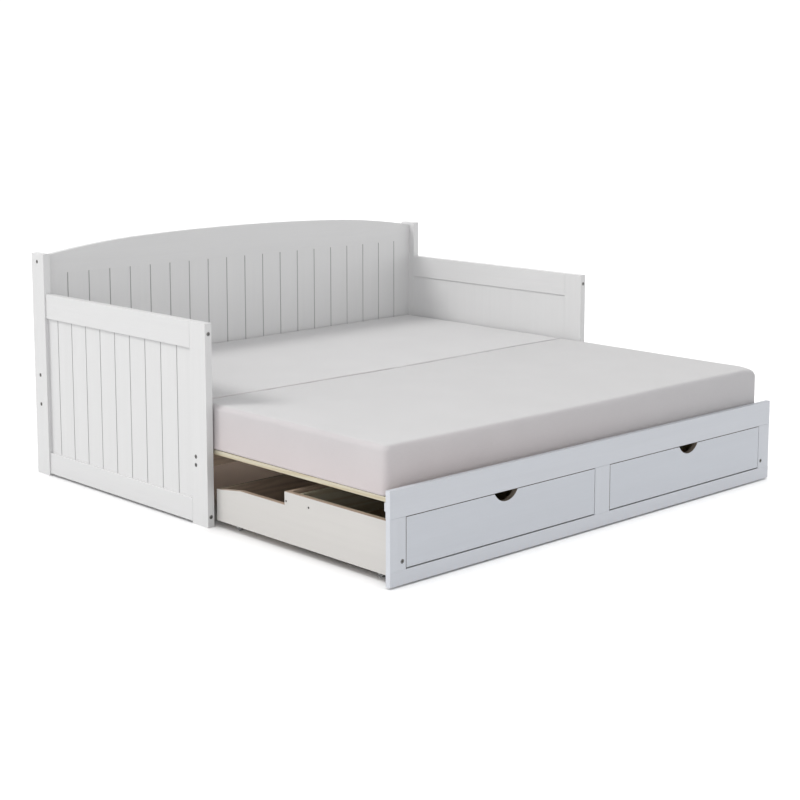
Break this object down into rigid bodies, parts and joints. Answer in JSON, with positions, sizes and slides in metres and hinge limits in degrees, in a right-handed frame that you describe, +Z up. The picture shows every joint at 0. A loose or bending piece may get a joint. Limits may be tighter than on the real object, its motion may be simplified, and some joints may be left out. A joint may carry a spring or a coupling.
{
  "type": "trundle bed",
  "caption": "White pine daybed with beadboard sides and an arched back, whose front section with drawers pulls out to double the bed; shown extended with both mattresses.",
  "frame": {"origin": "floor level, at the middle of the width and of the extended depth (centre of the bounding box's bottom)", "axes": "+Z up, -Y the front (the side the front section pulls out to), +X to the right as seen from the front; drawn fully extended"},
  "size_m": [2.03, 2.07, 0.9337],
  "materials": {
    "white_paint": "satin white paint over pine",
    "pine": "raw planed pine",
    "board_inside": "plain board, matt",
    "zinc_steel": "zinc plated",
    "caster_grey": "moulded nylon",
    "mattress_cover": "light grey knitted cover"
  },
  "bodies": {
    "main_frame": {"rear_post_left": "white_paint", "rear_post_right": "white_paint", "front_post_left": "white_paint", "front_post_right": "white_paint", "side_top_rail_left": "white_paint", "side_top_rail_right": "white_paint", "side_bottom_rail_left": "white_paint", "side_bottom_rail_right": "white_paint", "side_beadboard_left": "white_paint", "side_beadboard_right": "white_paint", "back_arched_rail": "white_paint", "back_beadboard": "white_paint", "back_bottom_rail": "white_paint", "rear_slat_ledger": "pine", "front_beam": "white_paint", "fixed_slats": "pine", "frame_bolts": "zinc_steel", "main_mattress": "mattress_cover"},
    "pull_out": {"panel_top_rail": "white_paint", "panel_bottom_rail": "white_paint", "panel_stile_left": "white_paint", "panel_stile_middle": "white_paint", "panel_stile_right": "white_paint", "panel_slat_ledger": "white_paint", "sliding_slats": "pine", "slat_batten": "pine", "batten_spacers": "pine", "sled_side_left": "white_paint", "sled_side_right": "white_paint", "sled_rear_board": "white_paint", "sled_middle_rail": "board_inside", "housing_rear_board": "board_inside", "housing_divider": "board_inside", "drawer_runners": "pine", "panel_bolts": "zinc_steel", "sled_screws": "zinc_steel", "caster_brackets": "zinc_steel", "caster_axles": "zinc_steel"},
    "drawer_left": {"drawer_left_front": "white_paint", "drawer_left_outer_side": "pine", "drawer_left_inner_side": "pine", "drawer_left_back": "pine", "drawer_left_bottom": "board_inside"},
    "drawer_right": {"drawer_right_front": "white_paint", "drawer_right_outer_side": "pine", "drawer_right_inner_side": "pine", "drawer_right_back": "pine", "drawer_right_bottom": "board_inside"},
    "caster_rear_left": {"caster_wheel_rear_left": "caster_grey"},
    "caster_rear_middle": {"caster_wheel_rear_middle": "caster_grey"},
    "caster_rear_right": {"caster_wheel_rear_right": "caster_grey"},
    "caster_front_left": {"caster_wheel_front_left": "caster_grey"},
    "caster_front_middle": {"caster_wheel_front_middle": "caster_grey"},
    "caster_front_right": {"caster_wheel_front_right": "caster_grey"},
    "extension": {"extension_mattress": "mattress_cover"}
  },
  "joints": [
    {"name": "pull_out_slide", "type": "slide", "parent": "main_frame", "child": "pull_out", "axis": [0, 1, 0], "range_m": [0, 0.921]},
    {"name": "drawer_left_slide", "type": "slide", "parent": "pull_out", "child": "drawer_left", "axis": [0, -1, 0], "range_m": [0, 0.38]},
    {"name": "drawer_right_slide", "type": "slide", "parent": "pull_out", "child": "drawer_right", "axis": [0, -1, 0], "range_m": [0, 0.38]},
    {"name": "extension_fold", "type": "hinge", "parent": "main_frame", "child": "extension", "pos_m": [0, 0.0015, 0.4473], "axis": [-1, 0, 0], "range_deg": [0, 180]},
    {"name": "caster_rear_left_roll", "type": "hinge", "parent": "pull_out", "child": "caster_rear_left", "pos_m": [-0.94, -0.186, 0.016], "axis": [1, 0, 0], "continuous": true},
    {"name": "caster_rear_middle_roll", "type": "hinge", "parent": "pull_out", "child": "caster_rear_middle", "pos_m": [0.022, -0.186, 0.016], "axis": [1, 0, 0], "continuous": true},
    {"name": "caster_rear_right_roll", "type": "hinge", "parent": "pull_out", "child": "caster_rear_right", "pos_m": [0.94, -0.186, 0.016], "axis": [1, 0, 0], "continuous": true},
    {"name": "caster_front_left_roll", "type": "hinge", "parent": "pull_out", "child": "caster_front_left", "pos_m": [-0.94, -0.915, 0.016], "axis": [1, 0, 0], "continuous": true},
    {"name": "caster_front_middle_roll", "type": "hinge", "parent": "pull_out", "child": "caster_front_middle", "pos_m": [0.022, -0.915, 0.016], "axis": [1, 0, 0], "continuous": true},
    {"name": "caster_front_right_roll", "type": "hinge", "parent": "pull_out", "child": "caster_front_right", "pos_m": [0.94, -0.915, 0.016], "axis": [1, 0, 0], "continuous": true}
  ],
  "couplings": [
    {"joint": "extension_fold", "follows": "pull_out_slide", "rad_per_m": 3.411}
  ]
}
